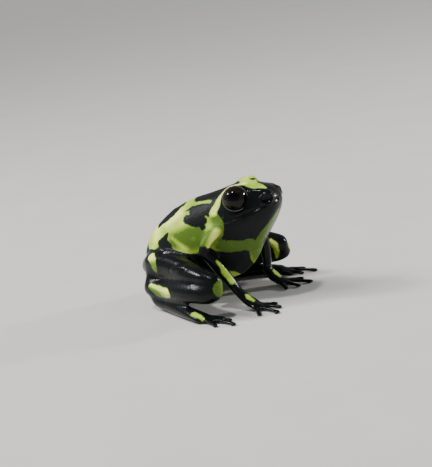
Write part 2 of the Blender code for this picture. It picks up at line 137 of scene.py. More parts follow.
flesh = []
triangles, triangle_points, triangle_owner = [], [], []
for number, name in enumerate(FLESH):
    copy = bpy.data.objects.new("flesh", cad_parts[name].data.copy())
    bpy.context.scene.collection.objects.link(copy)
    shell = bmesh.new()
    shell.from_mesh(copy.data)
    bmesh.ops.remove_doubles(shell, verts=shell.verts, dist=1e-7)
    bmesh.ops.scale(shell, vec=(1 / MM,) * 3, verts=shell.verts)
    bmesh.ops.recalc_face_normals(shell, faces=shell.faces)
    first = len(triangle_points)
    shell.verts.index_update()
    triangle_points += [v.co.copy() for v in shell.verts]
    for face in shell.faces:
        triangles.append([first + v.index for v in face.verts])
        triangle_owner.append(number)
    shell.to_mesh(copy.data)
    shell.free()
    grow = copy.modifiers.new("grow", "DISPLACE")
    grow.mid_level = 0
    grow.strength = GROW
    apply_modifiers(copy)
    flesh.append(copy)
flesh_tree = BVHTree.FromPolygons(triangle_points, triangles)

# The arms are kept clear of the thighs, so that no skin grows between them.
for side in ("right", "left"):
    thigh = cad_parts["thigh_" + side].data
    thigh_tree = BVHTree.FromPolygons(
        [v.co / MM for v in thigh.vertices], [tuple(f.vertices) for f in thigh.polygons]
    )
    for limb in ("upper_arm_", "forearm_"):
        for vertex in flesh[FLESH.index(limb + side)].data.vertices:
            near, _, _, gap = thigh_tree.find_nearest(vertex.co)
            if gap < ARM_CLEAR:
                vertex.co += (vertex.co - near).normalized() * (ARM_CLEAR - gap)

# Balls fill the eyes' sockets, which are shaped again on the finished skin.
bpy.ops.object.select_all(action="DESELECT")
for centre in (eye_right, eye_left):
    bpy.ops.mesh.primitive_uv_sphere_add(segments=48, ring_count=24, radius=EYE_SEAT, location=centre)
    bpy.ops.object.transform_apply(location=True)
    flesh.append(bpy.context.object)
for web in WEBS:
    for side in (-1, 1):
        middle = Vector(web[:3]) * Vector((1, side, 1))
        bpy.ops.mesh.primitive_uv_sphere_add(segments=32, ring_count=16, radius=1, location=middle)
        bpy.context.object.scale = web[3:]
        bpy.ops.object.transform_apply(location=True, scale=True)
        flesh.append(bpy.context.object)
bpy.ops.object.select_all(action="DESELECT")
for piece in flesh:
    piece.select_set(True)
skin = flesh[0]
bpy.context.view_layer.objects.active = skin
bpy.ops.object.join()
skin.name = "frog_skin"
remesh = skin.modifiers.new("one skin", "REMESH")
remesh.mode = "VOXEL"
remesh.voxel_size = VOXEL
apply_modifiers(skin)


def read_points(piece):
    flat = np.empty(len(piece.data.vertices) * 3, np.float32)
    piece.data.vertices.foreach_get("co", flat)
    return flat.reshape(-1, 3).astype(float)


def read_normals(piece):
    flat = np.empty(len(piece.data.vertices) * 3, np.float32)
    piece.data.vertices.foreach_get("normal", flat)
    return flat.reshape(-1, 3).astype(float)


def write_points(piece, points):
    piece.data.vertices.foreach_set("co", points.astype(np.float32).ravel())
    piece.data.update()


ends = np.empty(len(skin.data.edges) * 2, np.int32)
skin.data.edges.foreach_get("vertices", ends)
edge_a, edge_b = ends.reshape(-1, 2).T
size = len(skin.data.vertices)
neighbours = np.bincount(edge_a, minlength=size) + np.bincount(edge_b, minlength=size)


def blur(values, times, share):
    """Draws each point's value towards the mean of its neighbours', by its share."""
    for _ in range(times):
        total = np.bincount(edge_a, values[edge_b], size) + np.bincount(edge_b, values[edge_a], size)
        values = values + (total / neighbours - values) * share
    return values


def relax(times, share):
    """Smooths the skin where the share is high."""
    write_points(skin, np.stack([blur(values, times, share) for values in read_points(skin).T], 1))


def fade(value):
    value = np.clip(value, 0, 1)
    return value * value * (3 - 2 * value)


points = read_points(skin)
owner = np.array([triangle_owner[flesh_tree.find_nearest(Vector(p))[2]] for p in points])


def owned_by(*words):
    """Which points of the skin lie over flesh whose name has one of the words."""
    return np.array([any(word in name for word in words) for name in FLESH])[owner]


from_eye = np.minimum(
    np.linalg.norm(points - np.array(eye_right), axis=1),
    np.linalg.norm(points - np.array(eye_left), axis=1),
)
soft = np.where(owned_by("hand", "foot"), FINGER_SOFT, 1.0)
soft = np.minimum(soft, EYE_FIRM + (1 - EYE_FIRM) * fade((from_eye - EYE_FIRM_TO) / EYE_FIRM_FADE))
relax(FIRST_ROUNDS, np.full(len(points), FIRST_SHARE))
relax(SOFT_ROUNDS, SOFT_SHARE * soft)
near_web = np.full(len(points), np.inf)
for web in WEBS:
    for side in (-1, 1):
        middle = np.array(web[:3]) * (1, side, 1)
        near_web = np.minimum(near_web, np.linalg.norm(points - middle, axis=1))
relax(WEB_ROUNDS, SOFT_SHARE * fade((WEB_REACH - near_web) / WEB_FADE))
for spot, radius, times in BENDS:
    gap = np.linalg.norm(read_points(skin) - np.array(spot), axis=1)
    relax(times, SOFT_SHARE * fade((radius - gap) / BEND_FADE))
points = read_points(skin) - read_normals(skin) * GROW

# The lids are drawn in until they hug the eyeballs, and thicken evenly away from their margins.
LID_HUGS = 2.6
# Where each eye looks, ahead, outward and up, and how far its lids open, in degrees from there
RIGHT_LOOKS, LEFT_LOOKS = (0.283, -0.88, 0.378), (0.3, 0.92, 0.1)
LIDS_OPEN = {"right": 73, "left": 70}
# Degrees past their margin where the lids end, and over how many of them they merge
LID_BACK, LID_MERGE = 55, 20
# Distances from the eye's centre, before and after the skin is drawn in
DRAWN_FROM, DRAWN_TO = (0, 2.5, 2.95, 3.22, 4.6), (0, 2.5, LID_HUGS, 3.06, 4.6)
# Degrees past the margin, with the least and the most that the lid stands out from the eyeball
LEAST_PAST, LEAST_OUT = (0, 8, 30, 60), (0.02, 0.14, 0.5, 0.9)
MOST_PAST, MOST_OUT = (0, 8, 20, 40), (0.04, 0.3, 0.9, 2.0)
UNDER_EYE = 2.42  # the skin inside the opening stays under the eyeball
LID_REACH, LID_FADE = 5.0, 1.0
LID_ROUNDS, LID_SHARE, LID_FIRM, LID_FIRM_FADE, LID_SOFT_TO, LID_SOFT_FADE = 36, 0.5, 2.62, 0.25, 6.2, 1.2
looks_right, looks_left = Vector(RIGHT_LOOKS), Vector(LEFT_LOOKS)
for looks in (looks_right, looks_left):
    looks.rotate(Matrix.Rotation(HEAD_TURN, 3, "Z"))
    looks.normalize()
for word, centre, looks in (("right", eye_right, looks_right), ("left", eye_left, looks_left)):
    spoke = points - np.array(centre)
    reach = np.linalg.norm(spoke, axis=1)
    drawn = np.interp(reach, DRAWN_FROM, DRAWN_TO)
    near = owned_by("head") & (reach < DRAWN_FROM[-1])
    points = np.where(near[:, None], np.array(centre) + spoke * (drawn / reach)[:, None], points)
    spoke = points - np.array(centre)
    reach = np.linalg.norm(spoke, axis=1)
    turn = np.degrees(np.arccos(np.clip(spoke @ np.array(looks) / reach, -1, 1)))
    past = turn - LIDS_OPEN[word]
    least = LID_HUGS + np.interp(past, LEAST_PAST, LEAST_OUT)
    most = LID_HUGS + np.interp(past, MOST_PAST, MOST_OUT)
    lid = np.where(past < 0, np.minimum(reach, UNDER_EYE), np.clip(reach, least, most))
    share = fade((LID_BACK - past) / LID_MERGE) * owned_by("head") * fade((LID_REACH - reach) / LID_FADE)
    points = points + spoke * (share * (lid / reach - 1))[:, None]
    write_points(skin, points)
    far = np.linalg.norm(points - np.array(centre), axis=1)
    share = LID_SHARE * fade((far - LID_FIRM) / LID_FIRM_FADE)
    relax(LID_ROUNDS, share * fade((LID_SOFT_TO - far) / LID_SOFT_FADE))
    points = read_points(skin)
write_points(skin, points)


def skin_surface():
    return BVHTree.FromPolygons(
        [Vector(p) for p in read_points(skin)], [tuple(f.vertices) for f in skin.data.polygons]
    )


skin_tree = skin_surface()
MISSED_HEIGHT = Vector((0, 0, 12))  # height at which a pixel beside the frog looks for its skin
CHEEK_START = 15  # how far out a ray towards the cheek starts


def under_pixel(x, y):
    """The point of the skin that the photograph shows at this pixel, or else the nearest to it."""
    ray = Vector(((x - PHOTO_WIDE / 2), (PHOTO_TALL / 2 - y), -FOCAL_PIXELS)).normalized()
    ray = camera_turn @ ray
    hit = skin_tree.ray_cast(camera_place, ray)[0]
    if hit is None:
        near = camera_place + ray * ray.dot(FROG_MIDDLE + MISSED_HEIGHT - camera_place)
        hit = skin_tree.find_nearest(near)[0]
    return hit


def across_head(point):
    """The matching point on the head's other side."""
    return point - head_left * 2 * (point - HEAD_PIVOT).dot(head_left)


def across_body(point):
    return Vector((point.x, -point.y, point.z))


def head_side(along, height, side):
    """The point of the cheek at a distance ahead of the neck's pivot and a height."""
    middle = HEAD_PIVOT + head_ahead * along + Vector((0, 0, height))
    hit = skin_tree.ray_cast(middle + head_left * side * CHEEK_START, -head_left * side)[0]
    return hit or middle


def stroke_distance(stations):
    """How far each point of the skin lies outside a stroke of the given points and half widths."""
    best = np.full(len(points), np.inf)
    rows = [(np.array(place), width) for place, width in stations]
    if len(rows) == 1:
        rows = rows * 2
    for (a, wide_a), (b, wide_b) in zip(rows, rows[1:]):
        along = b - a
        length = max(float(along @ along), 1e-9)
        t = np.clip((points - a) @ along / length, 0, 1)
        gap = np.linalg.norm(points - a - t[:, None] * along, axis=1)
        best = np.minimum(best, gap - (wide_a + (wide_b - wide_a) * t))
    return best


def bell(gap, width):
    return np.exp(-((gap / width) ** 2))


# Relief of the head. Both nostrils and the front of the mouth are smoothed over first.
NOSTRIL_PIXEL = (266.5, 199)
NOSTRIL_SMOOTH, TIP_SMOOTH, SMOOTH_ROUNDS = 1.0, 1.7, 60
SNOUT_TIP = (12.8, 20.2)  # ahead of the neck's pivot, and up
RIDGE_PIXELS, RIDGE_RISE, RIDGE_WIDTH = ((252, 191), (262, 191.5), (270, 193)), 0.34, 0.65
HOLLOW_PIXELS, HOLLOW_DEPTH, HOLLOW_WIDTH = ((256, 200), (263, 206), (271, 205)), 0.3, 1.5
PIT_PIXELS, PIT_DEPTH, PIT_WIDTH = ((265.2, 199.4), (267.8, 198.7)), 0.55, 0.55
PIT_RIM_AT, PIT_RIM_RISE, PIT_RIM_WIDTH = 0.92, 0.36, 0.3
PIT_SOFT_WIDTH, PIT_ROUNDS, PIT_SHARE = 0.5, 4, 0.5
# Distance ahead of the neck's pivot and height, from the corner of the mouth to the snout
MOUTH_LINE = ((0.9, 17.0), (3.0, 17.5), (6.0, 18.4), (9.0, 19.4), (10.8, 20.0), (12.2, 20.35))
MOUTH_DEPTH, MOUTH_WIDTH = 0.24, 0.24
LIP_AT, LIP_RISE, LIP_WIDTH = 0.55, 0.06, 0.32
EARDRUM, EARDRUM_DEPTH, EARDRUM_WIDTH = (1.2, 18.6), 0.06, 0.8
EARDRUM_RIM_AT, EARDRUM_RIM_RISE, EARDRUM_RIM_WIDTH = 1.05, 0.1, 0.25
# From the left eye's centre to the top of its lid: ahead, left and up, times a reach
LID_TOP, LID_TOP_OUT = (0.42, -0.5, 0.76), 3.0
LID_TOP_RISE, LID_TOP_WIDTH = 0.85, 1.25

on_head = owned_by("head")
tip = head_ahead * SNOUT_TIP[0] + HEAD_PIVOT + Vector((0, 0, SNOUT_TIP[1]))
nostril = under_pixel(*NOSTRIL_PIXEL)
for spot, width in (
    (nostril, NOSTRIL_SMOOTH), (across_head(nostril), NOSTRIL_SMOOTH), (tip, TIP_SMOOTH)
):
    gap = stroke_distance([(spot, 0)])
    relax(SMOOTH_ROUNDS, SOFT_SHARE * on_head * fade((2 * width - gap) / width))
points = read_points(skin)
skin_tree = skin_surface()
lift = np.zeros(len(points))
near_pit = np.zeros(len(points))
for side, mirror in ((-1, lambda p: p), (1, across_head)):
    # A firm ridge runs from the eye to the snout, with a shallow hollow under it.
    ridge = [(mirror(under_pixel(x, y)), 0) for x, y in RIDGE_PIXELS]
    lift += on_head * RIDGE_RISE * bell(stroke_distance(ridge), RIDGE_WIDTH)
    hollow = [(mirror(under_pixel(x, y)), 0) for x, y in HOLLOW_PIXELS]
    lift -= on_head * HOLLOW_DEPTH * bell(stroke_distance(hollow), HOLLOW_WIDTH)
    # The nostril is a pit in a swollen ring.
    pit = [(mirror(under_pixel(x, y)), 0) for x, y in PIT_PIXELS]
    gap = stroke_distance(pit)
    ring = PIT_RIM_RISE * bell(gap - PIT_RIM_AT, PIT_RIM_WIDTH)
    lift += on_head * (ring - PIT_DEPTH * bell(gap, PIT_WIDTH))
    near_pit += bell(gap, PIT_SOFT_WIDTH)
    # The mouth is a fine closed line between two soft lips.
    line = [(head_side(along, height, side), 0) for along, height in MOUTH_LINE]
    gap = stroke_distance(line)
    lips = LIP_RISE * bell(gap - LIP_AT, LIP_WIDTH)
    lift += on_head * (lips - MOUTH_DEPTH * bell(gap, MOUTH_WIDTH))
    # The eardrum is a small flat disc behind the corner of the mouth.
    gap = stroke_distance([(head_side(*EARDRUM, side), 0)])
    ring = EARDRUM_RIM_RISE * bell(gap - EARDRUM_RIM_AT, EARDRUM_RIM_WIDTH)
    lift += on_head * (ring - EARDRUM_DEPTH * bell(gap, EARDRUM_WIDTH))
# The upper lid of the left eye bulges over it.
ahead, left, up = LID_TOP
lid_top = eye_left + (head_ahead * ahead + head_left * left + Vector((0, 0, up))) * LID_TOP_OUT
lift += on_head * LID_TOP_RISE * bell(stroke_distance([(lid_top, 0)]), LID_TOP_WIDTH)

# Relief of the body. The spine and hip bones show as low ridges on the back, and loose skin
# folds where the thigh presses against the flank.
BACK_RIDGES = (
    ((-15.2, 0.0, 12.0), (-9.5, 0.0, 18.5)),
    ((-14.0, 3.2, 13.0), (-8.2, 2.9, 18.6)),
    ((-14.0, -3.2, 13.0), (-8.2, -2.9, 18.6)),
)
BACK_RIDGE_RISE, BACK_RIDGE_WIDTH = 0.22, 0.9
# Height of each fold, and its pixels
THIGH_FOLDS = (
    (0.18, ((165, 251.5), (173, 250.5), (181, 252.5), (187, 257))),
    (0.1, ((172, 270), (178, 268), (184, 267.5))),
)
FOLD_WIDTH, CREASE_AT, CREASE_SHARE, CREASE_WIDTH = 0.5, 0.9, 0.6, 0.45

for stations in BACK_RIDGES:
    ridge = [(skin_tree.find_nearest(Vector(place))[0], 0) for place in stations]
    lift += owned_by("torso") * BACK_RIDGE_RISE * bell(stroke_distance(ridge), BACK_RIDGE_WIDTH)
for mirror in (lambda p: p, across_body):
    for height, pixels in THIGH_FOLDS:
        gap = stroke_distance([(mirror(under_pixel(x, y)), 0) for x, y in pixels])
        crease = CREASE_SHARE * bell(gap - CREASE_AT, CREASE_WIDTH)
        lift += owned_by("thigh") * height * (bell(gap, FOLD_WIDTH) - crease)
points = points + read_normals(skin) * lift[:, None]
write_points(skin, points)
relax(PIT_ROUNDS, PIT_SHARE * np.clip(near_pit, 0, 1))
points = read_points(skin)
skin_tree = skin_surface()

# Finish of the skin. The green and the black are both smooth and moist, with a fine grain. The
# edge of each mark wanders, and the green is deeper in some places and pale in others: the pale
# places are painted highlights, and the deep ones are partly the green's own tone and partly
# painted shade.


class Flow:
    """A socket of a material's nodes, which arithmetic joins through Math nodes."""

    def __init__(self, finish, socket):
        self.finish = finish
        self.socket = socket

    def maths(self, operation, first, second):
        return self.finish.node("ShaderNodeMath", {"operation": operation}, {0: first, 1: second})

    def __add__(self, other):
        return self.maths("ADD", self, other)

    def __radd__(self, other):
        return self.maths("ADD", other, self)

    def __sub__(self, other):
        return self.maths("SUBTRACT", self, other)

    def __rsub__(self, other):
        return self.maths("SUBTRACT", other, self)

    def __mul__(self, other):
        return self.maths("MULTIPLY", self, other)

    def __rmul__(self, other):
        return self.maths("MULTIPLY", other, self)


class Finish:
    """A material whose nodes are added one by one."""

    def __init__(self, name):
        self.material = bpy.data.materials.new(name)
        self.material.use_nodes = True
        self.nodes = self.material.node_tree.nodes
        self.shader = self.nodes["Principled BSDF"]

    def node(self, kind, settings, inputs, output=0):
        made = self.nodes.new(kind)
        for name, value in settings.items():
            if name == "stops":
                ramp = made.color_ramp.elements
                while len(ramp) < len(value):
                    ramp.new(0.5)
                for stop, (place, tint) in zip(ramp, value):
                    stop.position = place
                    stop.color = tint
            else:
                setattr(made, name, value)
        for name, value in inputs.items():
            self.join(value, made.inputs[name])
        return Flow(self, made.outputs[output])

    def join(self, value, socket):
        if isinstance(value, Flow):
            self.material.node_tree.links.new(value.socket, socket)
        else:
            socket.default_value = value

    def set(self, **inputs):
        for name, value in inputs.items():
            self.join(value, self.shader.inputs[name.replace("_", " ")])

    def range(self, value, low, high, to_low=0.0, to_high=1.0):
        inputs = {0: value, 1: low, 2: high, 3: to_low, 4: to_high}
        return self.node("ShaderNodeMapRange", {"interpolation_type": "SMOOTHSTEP"}, inputs)

    def mix(self, factor, first, second):
        settings = {"data_type": "RGBA"}
        return self.node("ShaderNodeMix", settings, {0: factor, 6: first, 7: second}, 2)

    def noise(self, place, scale, detail=3.0, rough=0.5):
        inputs = {"Vector": place, "Scale": scale, "Detail": detail, "Roughness": rough}
        return self.node("ShaderNodeTexNoise", {}, inputs)


def colour(red, green, blue):
    """A colour by its screen values, 0 to 255."""
    parts = []
    for value in (red, green, blue):
        value /= 255
        parts.append(value / 12.92 if value < 0.04 else ((value + 0.055) / 1.055) ** 2.4)
    return (*parts, 1.0)


# Marks are strokes of green, or of black over it. Each has its colour, the parts of the body it
# may reach, and its stations: pixels of the photograph, each with a half width in millimetres.
BODY = ("torso", "head", "upper_arm")
LEG = ("thigh", "shank", "foot")
HEAD, HAND, FOREARM, UPPER_ARM = ("head",), ("hand",), ("forearm",), ("upper_arm",)
TORSO = ("torso", "head")
LIME, BLACK = True, False
BARE = -3.0  # how far a point without marks is taken to lie from any
FLANK_AND_BACK = (
    (LIME, BODY, ((152, 240, 2.2), (160, 228, 2.6), (175, 222, 2.6), (190, 225, 3.0), (205, 232, 3.0))),
    (LIME, BODY, ((150, 256, 1.5), (156, 240, 2.4), (180, 244, 2.4), (200, 244, 1.8), (212, 240, 1.8))),
    (LIME, BODY, ((170, 217, 1.6), (184, 209, 1.1), (193, 203, 0.8))),
    (LIME, BODY, ((186, 206, 0.6), (198, 203, 0.55), (210, 201.5, 0.45))),
    (LIME, BODY, ((186, 206, 0.8), (194, 198, 0.9))),
    (BLACK, BODY, ((202, 197.5, 0.85), (212, 195, 0.9), (222, 192.5, 0.85))),
    (
        BLACK,
        BODY,
        ((160.5, 223.5, 0.8), (166, 217.5, 1.4), (172, 212.5, 1.5), (178, 208, 1.2), (182, 205, 0.6)),
    ),
    (BLACK, BODY, ((193, 210.5, 0.9), (206, 208.5, 0.6))),
    (BLACK, BODY, ((187, 219.5, 0.9), (197, 221, 1.2), (203.5, 221, 0.8))),
    (BLACK, BODY, ((196, 214, 1.5), (203, 227, 0.6))),
    (BLACK, BODY, ((203, 213, 0.9), (206, 210, 0.8))),
    (BLACK, BODY, ((167.5, 234, 0.25), (165, 240, 0.7), (160, 243, 0.6))),
    (BLACK, BODY, ((165, 242, 0.9), (168, 248, 1.1))),
)
# The stripe round the back of the eye, which widens down the shoulder and the upper arm
EYE_STRIPE = ((243, 183.5, 0.8), (232, 186, 0.8), (223.5, 191.5, 0.8), (218, 202, 0.8), (213.5, 212, 0.9))
STRIPE_AND_SHOULDER = (
    (LIME, BODY, EYE_STRIPE),
    (LIME, BODY, ((213, 214, 0.9), (215, 226, 1.8), (215, 238, 1.9), (210, 247, 1.4))),
    (LIME, BODY, ((212, 246, 1.0), (218, 247, 1.0), (224, 247.5, 0.9))),
)
CROWN = (
    (LIME, HEAD, ((242, 184, 0.9), (249, 183.5, 1.3), (257, 185.5, 1.2), (264.5, 187.5, 0.55))),
    (LIME, HEAD, ((243, 180, 0.9), (249, 178, 1.3))),
)
CROWN_EDGE_FRONT, CROWN_EDGE_BACK = (251, 184.5), (245, 184)
# From the left eye's centre to its lid's front and rear, as for the lid's top
LID_FRONT, LID_REAR, LID_OUT = (0.75, -0.3, 0.55), (-0.3, -0.35, 0.88), 2.9
# A thin black line painted across the left lid: painted shade of a crease.
LID_CREASE_SHADE = (BLACK, HEAD, ((249, 178.6, 0.08), (252, 179.2, 0.16), (255, 178.6, 0.08)))
THROAT_AND_CHEST = (
    (LIME, BODY, ((278, 211, 0.6), (272, 222, 1.2), (265, 233, 1.7), (259, 243, 1.6))),
    (LIME, BODY, ((226, 246, 1.2), (238, 246.5, 1.2), (250, 244, 1.3))),
    (LIME, BODY, ((255, 246, 1.3), (255, 256, 1.2), (256, 268, 1.5))),
    (LIME, BODY, ((240, 283, 1.2), (228, 276, 0.9))),
)
# The right hip, heel and knee, then the left shank
HIND_LEGS = (
    (LIME, LEG, ((151, 257, 1.1), (153, 262, 1.0), (155, 269, 0.8))),
    (LIME, LEG, ((151, 286, 0.7), (157, 291, 1.4), (167, 294, 1.1))),
    (LIME, LEG, ((222, 279, 1.6), (221, 289, 1.7))),
    (LIME, LEG, ((270.5, 240.5, 0.6), (275, 245, 0.8), (277.5, 251, 0.75), (276.5, 257.5, 0.45))),
)
RIGHT_FOREARM = ((217, 261, 0.4), (224, 270, 0.8), (232, 281, 0.8))
# Sides that the photograph does not show follow the same kind of pattern, not a mirror of it.
# On the body: places along it, each with its angle from the spine to the left and a half width
AXIS_PLACES, AXIS_HEIGHTS = (-17, -10, -5, 0, 4), (9, 11, 12.5, 15, 18)
HIDDEN_BODY = (
    (
        LIME,
        (
            (-16.5, 20, 2.2), (-12.5, 46, 2.8), (-8, 60, 2.8),
            (-3, 74, 2.6), (0.5, 84, 2.0), (3.0, 80, 1.6),
        ),
    ),
    (LIME, ((-9, 30, 1.4), (-6.5, 12, 1.2), (-4.5, -8, 1.1), (-3.6, -24, 1.0))),
    (LIME, ((-2.0, 52, 1.2), (1.5, 40, 0.9), (3.4, 36, 0.8))),
    (LIME, ((-16.8, -20, 2.2), (-16.2, 10, 2.0), (-14.5, 30, 1.6))),
    (BLACK, ((-6.8, 54, 1.1), (-4.2, 62, 1.5), (-2.4, 72, 0.8))),
    (BLACK, ((-12.6, 62, 0.8), (-11, 72, 1.1), (-9.2, 84, 0.7))),
)
# On the legs, arms and belly: points of the skin, each with a half width
HIDDEN_LEGS = (
    ((-14.0, 6.0, 9.5, 0.9), (-11.0, 8.5, 10.5, 1.1)),
    ((3.5, 14.5, 7.4, 1.2), (6.5, 14.5, 6.6, 1.4)),
    ((-12.5, 9.0, 4.5, 1.3), (-9.5, 10.2, 4.6, 1.0)),
    ((-3.0, 12.2, 10.5, 0.6), (-0.5, 13.0, 9.6, 0.8)),
    ((2.0, 16.4, 1.6, 0.8), (4.0, 17.2, 1.2, 0.7)),
    ((2.0, -16.4, 1.6, 0.7), (4.4, -17.2, 1.2, 0.6)),
)
HIDDEN_ARMS = (
    (HAND, ((9.6, -8.2, 2.6, 0.8), (10.8, -8.0, 2.2, 0.6))),
    (HAND, ((7.0, 8.2, 2.6, 0.8), (8.2, 8.0, 2.2, 0.6))),
    (FOREARM, ((4.0, 10.4, 9.0, 0.7), (4.8, 10.0, 6.6, 0.9))),
    (UPPER_ARM, ((5.0, 7.4, 15.8, 1.6), (4.4, 9.4, 13.0, 1.6))),
)
BELLY = (
    ((7.5, 0.0, 11.0, 1.5), (5.0, 1.6, 8.6, 1.2), (1.5, 0.6, 6.2, 1.4)),
    ((-2.0, -2.8, 4.8, 1.3), (-4.5, -1.0, 4.4, 1.0)),
    ((-5.0, 3.2, 4.6, 1.1), (-8.0, 3.4, 4.4, 1.3)),
    ((-9.0, -2.6, 4.5, 1.0), (-12.0, -1.6, 4.6, 1.1)),
)

lime = np.full(len(points), BARE)


def by_pixel(stations):
    return [(under_pixel(x, y), width) for x, y, width in stations]


def by_place(stations):
    return [(skin_tree.find_nearest(Vector((x, y, z)))[0], width) for x, y, z, width in stations]


def by_turn(stations):
    return [(round_body(along, degrees), width) for along, degrees, width in stations]


def round_body(along, degrees):
    """The point of the back or flank at a place along the body, turned from the spine to the left."""
    middle = Vector((along, 0, np.interp(along, AXIS_PLACES, AXIS_HEIGHTS)))
    turn = math.radians(degrees)
    hit = skin_tree.ray_cast(middle, Vector((0, math.sin(turn), math.cos(turn))))[0]
    return hit or middle


def mark(green, where, stations):
    """Adds a stroke of green, or of black over it, to the parts of the body that are named."""
    gap = stroke_distance(stations)
    place = owned_by(*where)
    if green:
        lime[place] = np.maximum(lime[place], -gap[place])
    else:
        lime[place] = np.minimum(lime[place], gap[place])


for green, where, stations in FLANK_AND_BACK + STRIPE_AND_SHOULDER + CROWN:
    mark(green, where, by_pixel(stations))
# The left eye's upper lid is green as well, with a thin black line painted across it as the shade of a
# crease.
lid_front, lid_rear = [
    eye_left + (head_ahead * ahead + head_left * left + Vector((0, 0, up))) * LID_OUT
    for ahead, left, up in (LID_FRONT, LID_REAR)
]
for stations in (
    ((*lid_rear, 1.0), (*lid_top, 1.6), (*lid_front, 1.0)),
    ((*lid_top, 1.3), (*under_pixel(*CROWN_EDGE_FRONT), 1.1)),
    ((*lid_rear, 0.9), (*under_pixel(*CROWN_EDGE_BACK), 0.9)),
):
    mark(LIME, HEAD, by_place(stations))
for green, where, stations in (LID_CREASE_SHADE, *THROAT_AND_CHEST, *HIND_LEGS):
    mark(green, where, by_pixel(stations))
mark(LIME, BODY, [(across_head(place), width) for place, width in by_pixel(EYE_STRIPE)])
for green, stations in HIDDEN_BODY:
    mark(green, BODY, by_turn(stations))
for stations in HIDDEN_LEGS:
    mark(LIME, LEG, by_place(stations))
mark(LIME, FOREARM, by_pixel(RIGHT_FOREARM))
for where, stations in HIDDEN_ARMS:
    mark(LIME, where, by_place(stations))
for stations in BELLY:
    mark(LIME, TORSO, by_place(stations))

# Where a mark ends at the seam of two limbs, its edge is evened out.
EVEN_WITHIN = 1.2  # of a mark's edge
BLUR_SHARE = 0.8
SEAM_SPREAD, SEAM_GAIN, SEAM_ROUNDS = 4, 4, 16
seam = np.zeros(len(points))
across = owner[edge_a] != owner[edge_b]
seam[edge_a[across]] = 1
seam[edge_b[across]] = 1
seam = np.clip(blur(seam, SEAM_SPREAD, BLUR_SHARE) * SEAM_GAIN, 0, 1)
lime = blur(np.clip(lime, -EVEN_WITHIN, EVEN_WITHIN), SEAM_ROUNDS, BLUR_SHARE * seam)

# Depth of the green, from 0, pale, to 1, deep, which also carries painted light and shade: target, how
# soft its edge is, parts and pixels
PLAIN_DEPTH = 0.45
DEPTHS_AND_LIGHT = (
    # Deep rows. The lower flank is partly the green's own deeper tone and partly painted shade. The
    # shoulder, throat, chest, right knee and the undersides of the hip and heel patches are painted
    # shade.
    (1.0, 1.0, BODY, ((176, 240, 1.6), (190, 238, 2.4), (203, 238, 2.0))),
    (0.9, 0.9, BODY, ((216, 218, 1.2), (219, 230, 1.4), (217, 244, 1.2))),
    (1.0, 1.2, BODY, ((278, 211, 1.2), (268, 228, 2.2), (256, 246, 2.2), (256, 266, 2.2))),
    (1.0, 1.0, BODY, ((226, 246, 1.8), (245, 246, 1.8))),
    (0.85, 0.9, LEG, ((222, 279, 2.6), (221, 289, 2.6))),
    (0.9, 0.6, LEG, ((154, 268, 1.4), (152, 291, 1.4), (160, 297, 1.4))),
    # Pale rows, all painted highlights: the lit upper flank and rump, the eye stripe, the edge of the
    # upper arm, a sheen streak low on the flank, and the lit tops of the hip, heel and left knee patches.
    (0.0, 1.4, BODY, ((150, 236, 1.4), (160, 224, 1.6), (178, 213, 1.2))),
    (0.0, 0.5, BODY, EYE_STRIPE),
    (0.0, 0.6, BODY, ((217, 232, 0.8), (212, 242, 0.9), (208, 250, 0.7))),
    (0.2, 0.8, BODY, ((172, 238, 0.3), (179, 244, 0.5), (186, 249, 0.3))),
    (0.0, 0.5, LEG, ((150, 256, 0.9), (155, 257, 0.7))),
    (0.0, 0.4, LEG, ((150, 284, 0.5), (158, 288, 0.5), (167, 291, 0.5))),
    (0.0, 0.4, LEG, ((271, 240, 0.4), (276, 244.5, 0.5), (279, 250, 0.4))),
)
depth = np.full(len(points), PLAIN_DEPTH)
for target, soften, where, stations in DEPTHS_AND_LIGHT:
    gap = stroke_distance(by_pixel(stations))
    share = fade(0.5 - gap / (2 * soften)) * owned_by(*where)
    depth += (target - depth) * share

# The legs, arms and snout are wet and smooth, and the back is drier.
WET_LIMBS = ("thigh", "shank", "foot", "forearm", "hand")
DRY_BODY, DAMP_SHANK = 0.1, 0.75
WET_FROM, WET_OVER, WET_ROUNDS = 2.0, 5.0, 30  # ahead of the neck's pivot
wet = np.where(owned_by(*WET_LIMBS), 1.0, DRY_BODY)
wet = np.where(owned_by("shank"), DAMP_SHANK, wet)
ahead = (points - np.array(HEAD_PIVOT)) @ np.array(head_ahead)
wet = np.where(on_head, fade((ahead - WET_FROM) / WET_OVER), wet)
wet = blur(wet, WET_ROUNDS, BLUR_SHARE)
for name, values in (("lime", lime), ("depth", depth), ("wet", wet)):
    layer = skin.data.attributes.new(name, "FLOAT", "POINT")
    layer.data.foreach_set("value", values.astype(np.float32))
write_points(skin, points * MM)
for polygon in skin.data.polygons:
    polygon.use_smooth = True

# The greens run from a pale green for painted highlights, through the plain green, to a deep green that
# is partly the skin's own tone and partly painted shade.
GREENS_LIT_TO_SHADED = ((0.0, colour(240, 250, 132)), (0.45, colour(158, 188, 60)), (0.9, colour(80, 108, 32)))
EDGE_GREEN = colour(66, 96, 34)
BLACKS = (colour(5, 7, 8), colour(13, 18, 19))
